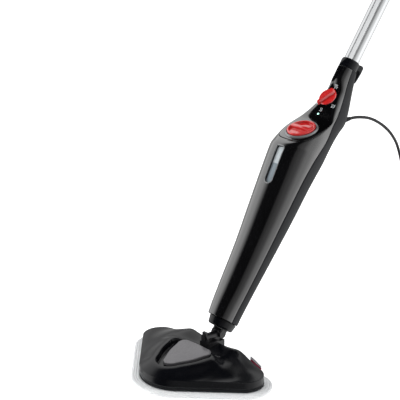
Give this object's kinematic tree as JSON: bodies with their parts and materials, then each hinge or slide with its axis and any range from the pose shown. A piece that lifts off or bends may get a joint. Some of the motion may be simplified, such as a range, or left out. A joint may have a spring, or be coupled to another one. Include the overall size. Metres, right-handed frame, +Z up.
{
  "type": "steam mop",
  "caption": "Upright steam mop with triangular microfibre head, universal joint, body with tank and steam knob, aluminium tube, grip and mains lead.",
  "frame": {"origin": "on the floor, straight below the universal joint", "axes": "+Z up, -Y the way the head points, mast leaning back over +Y, +X to the right seen from the front"},
  "size_m": [0.3345, 0.905, 0.985],
  "materials": {
    "pad_fabric": "looped microfibre",
    "label_fabric": "woven label",
    "black_gloss": "high gloss",
    "black_matt": "fine texture",
    "dark_plastic": "satin",
    "badge_grey": "satin metallic",
    "red_gloss": "gloss",
    "pale_rim": "satin",
    "tank_clear": "clear plastic",
    "window_clear": "clear plastic",
    "lens_green": "tinted clear",
    "aluminium": "satin anodised",
    "steel": "machined",
    "brass": "machined",
    "rubber": "matt",
    "board": "solder mask",
    "hose": "silicone",
    "cord_black": "satin sheath"
  },
  "bodies": {
    "head": {"mop_pad": "pad_fabric", "pad_label": "label_fabric", "hook_strips": "dark_plastic", "head_base": "black_matt", "head_cover": "black_gloss", "badge_plate": "badge_grey", "steam_manifold": "dark_plastic", "steam_nozzles": "brass", "pivot_cradle": "black_matt", "roll_pin": "steel", "head_screws": "steel"},
    "knuckle": {"knuckle": "dark_plastic", "pitch_pins": "steel"},
    "mast": {"neck_fork": "dark_plastic", "lower_collar": "black_gloss", "front_shell": "black_gloss", "back_shell": "black_matt", "control_panel": "black_gloss", "filler_bezel": "pale_rim", "filler_neck": "dark_plastic", "water_tank": "tank_clear", "tank_lid": "dark_plastic", "tank_window": "window_clear", "status_lens": "lens_green", "control_board": "board", "rotary_switch": "dark_plastic", "pump": "dark_plastic", "pump_mounts": "rubber", "water_hoses": "hose", "check_valve": "brass", "boiler": "steel", "thermostat": "brass", "steam_pipe": "steel", "wire_loom": "rubber", "body_screws": "steel", "tube_collar": "black_matt", "tube_spigot": "dark_plastic", "upper_tube": "aluminium", "grip_shell": "black_matt", "grip_insert": "rubber", "grip_cap": "black_matt", "hook_clamp": "black_matt", "lower_cord_hook": "black_matt", "knob_seat": "dark_plastic", "cord_gland": "black_matt", "strain_relief": "rubber", "cord_run": "cord_black", "cord_coil": "cord_black", "cord_tail": "cord_black", "coil_tie": "hose", "plug": "rubber", "plug_pins": "brass"},
    "knob": {"steam_knob": "red_gloss", "knob_shaft": "steel"},
    "cap_core": {"cap_plug": "dark_plastic", "cap_seal": "rubber"},
    "cap": {"tank_cap": "red_gloss"},
    "button": {"lock_button": "steel"},
    "cord_hook": {"upper_cord_hook": "black_matt"}
  },
  "joints": [
    {"name": "head_roll", "type": "hinge", "parent": "head", "child": "knuckle", "pos_m": [0, 0, 0.0535], "axis": [0, 1, 0], "range_deg": [-30, 30]},
    {"name": "neck_pitch", "type": "hinge", "parent": "knuckle", "child": "mast", "pos_m": [0, 0, 0.0535], "axis": [1, 0, 0], "range_deg": [-45, 37]},
    {"name": "steam_knob_turn", "type": "hinge", "parent": "mast", "child": "knob", "pos_m": [0, 0.26544, 0.42633], "axis": [0, -0.6561, 0.7547], "range_deg": [-157, 98]},
    {"name": "cap_lift", "type": "slide", "parent": "mast", "child": "cap_core", "axis": [0, -0.2436, 0.9699], "range_m": [0, 0.04]},
    {"name": "cap_turn", "type": "hinge", "parent": "cap_core", "child": "cap", "pos_m": [0, 0.1985, 0.38123], "axis": [0, -0.2436, 0.9699], "range_deg": [0, 90]},
    {"name": "tube_lock_press", "type": "slide", "parent": "mast", "child": "button", "axis": [1, 0, 0], "range_m": [0, 0.003], "stiffness_N_per_m": 500, "springref_m": -0.001},
    {"name": "cord_hook_turn", "type": "hinge", "parent": "mast", "child": "cord_hook", "pos_m": [0, 0.56264, 0.77522], "axis": [0, 0.7986, -0.6018], "range_deg": [0, 180]}
  ]
}
